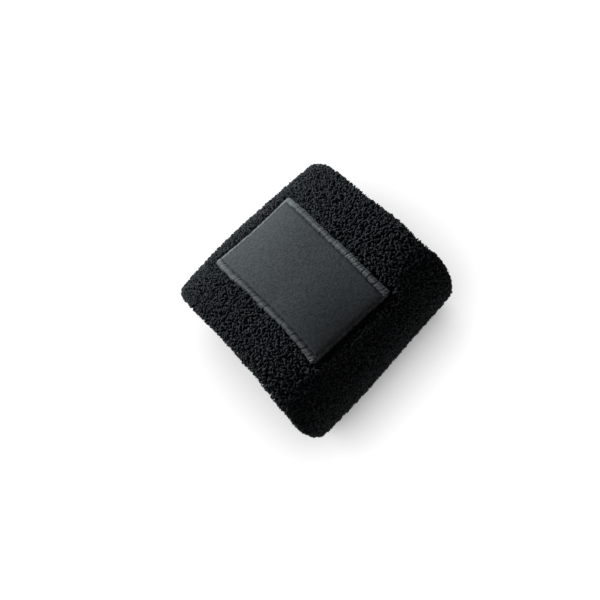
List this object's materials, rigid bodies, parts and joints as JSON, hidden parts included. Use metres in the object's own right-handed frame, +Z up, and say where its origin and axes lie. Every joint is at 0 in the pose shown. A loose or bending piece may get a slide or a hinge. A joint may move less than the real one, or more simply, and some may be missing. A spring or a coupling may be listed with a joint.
{
  "type": "sweat wristband",
  "caption": "Doubled terry tube worn on the wrist, with rolled rims, elastic yarns laid in its wall, and a blank bordered cloth patch sewn on the back of the wrist.",
  "frame": {"origin": "on the surface it rests on, under the middle of the band's bounding box", "axes": "+X along the arm, from the hand rim towards the forearm rim; +Y across the wrist; +Z up, out through the patch"},
  "size_m": [0.076, 0.0806, 0.0593],
  "materials": {
    "terry": "matte looped cotton terry, near black",
    "ground": "matte knitted ground, near black",
    "elastic": "covered rubber yarn, black",
    "seam_thread": "textured polyester overlock thread, black",
    "twill": "fine dark grey twill with a faint sheen",
    "interlining": "bonded non-woven, off-white",
    "border_thread": "bright dark grey rayon thread, satin stitched"
  },
  "bodies": {
    "root": {"ground_knit_tube": "ground", "outer_loop_pile": "terry", "hand_rim_loop_pile": "terry", "forearm_rim_loop_pile": "terry", "lining_loop_pile_hand": "terry", "lining_loop_pile_forearm": "terry", "closing_seam_thread": "seam_thread", "elastic_yarn_01": "elastic", "elastic_yarn_02": "elastic", "elastic_yarn_03": "elastic", "elastic_yarn_04": "elastic", "elastic_yarn_05": "elastic", "elastic_yarn_06": "elastic", "elastic_yarn_07": "elastic", "elastic_yarn_08": "elastic", "elastic_yarn_09": "elastic", "elastic_yarn_10": "elastic", "elastic_yarn_11": "elastic", "elastic_yarn_12": "elastic", "patch_twill_face": "twill", "patch_interlining": "interlining", "patch_border_thread": "border_thread", "patch_lockstitch_thread": "border_thread", "patch_bobbin_thread": "border_thread"}
  },
  "joints": []
}
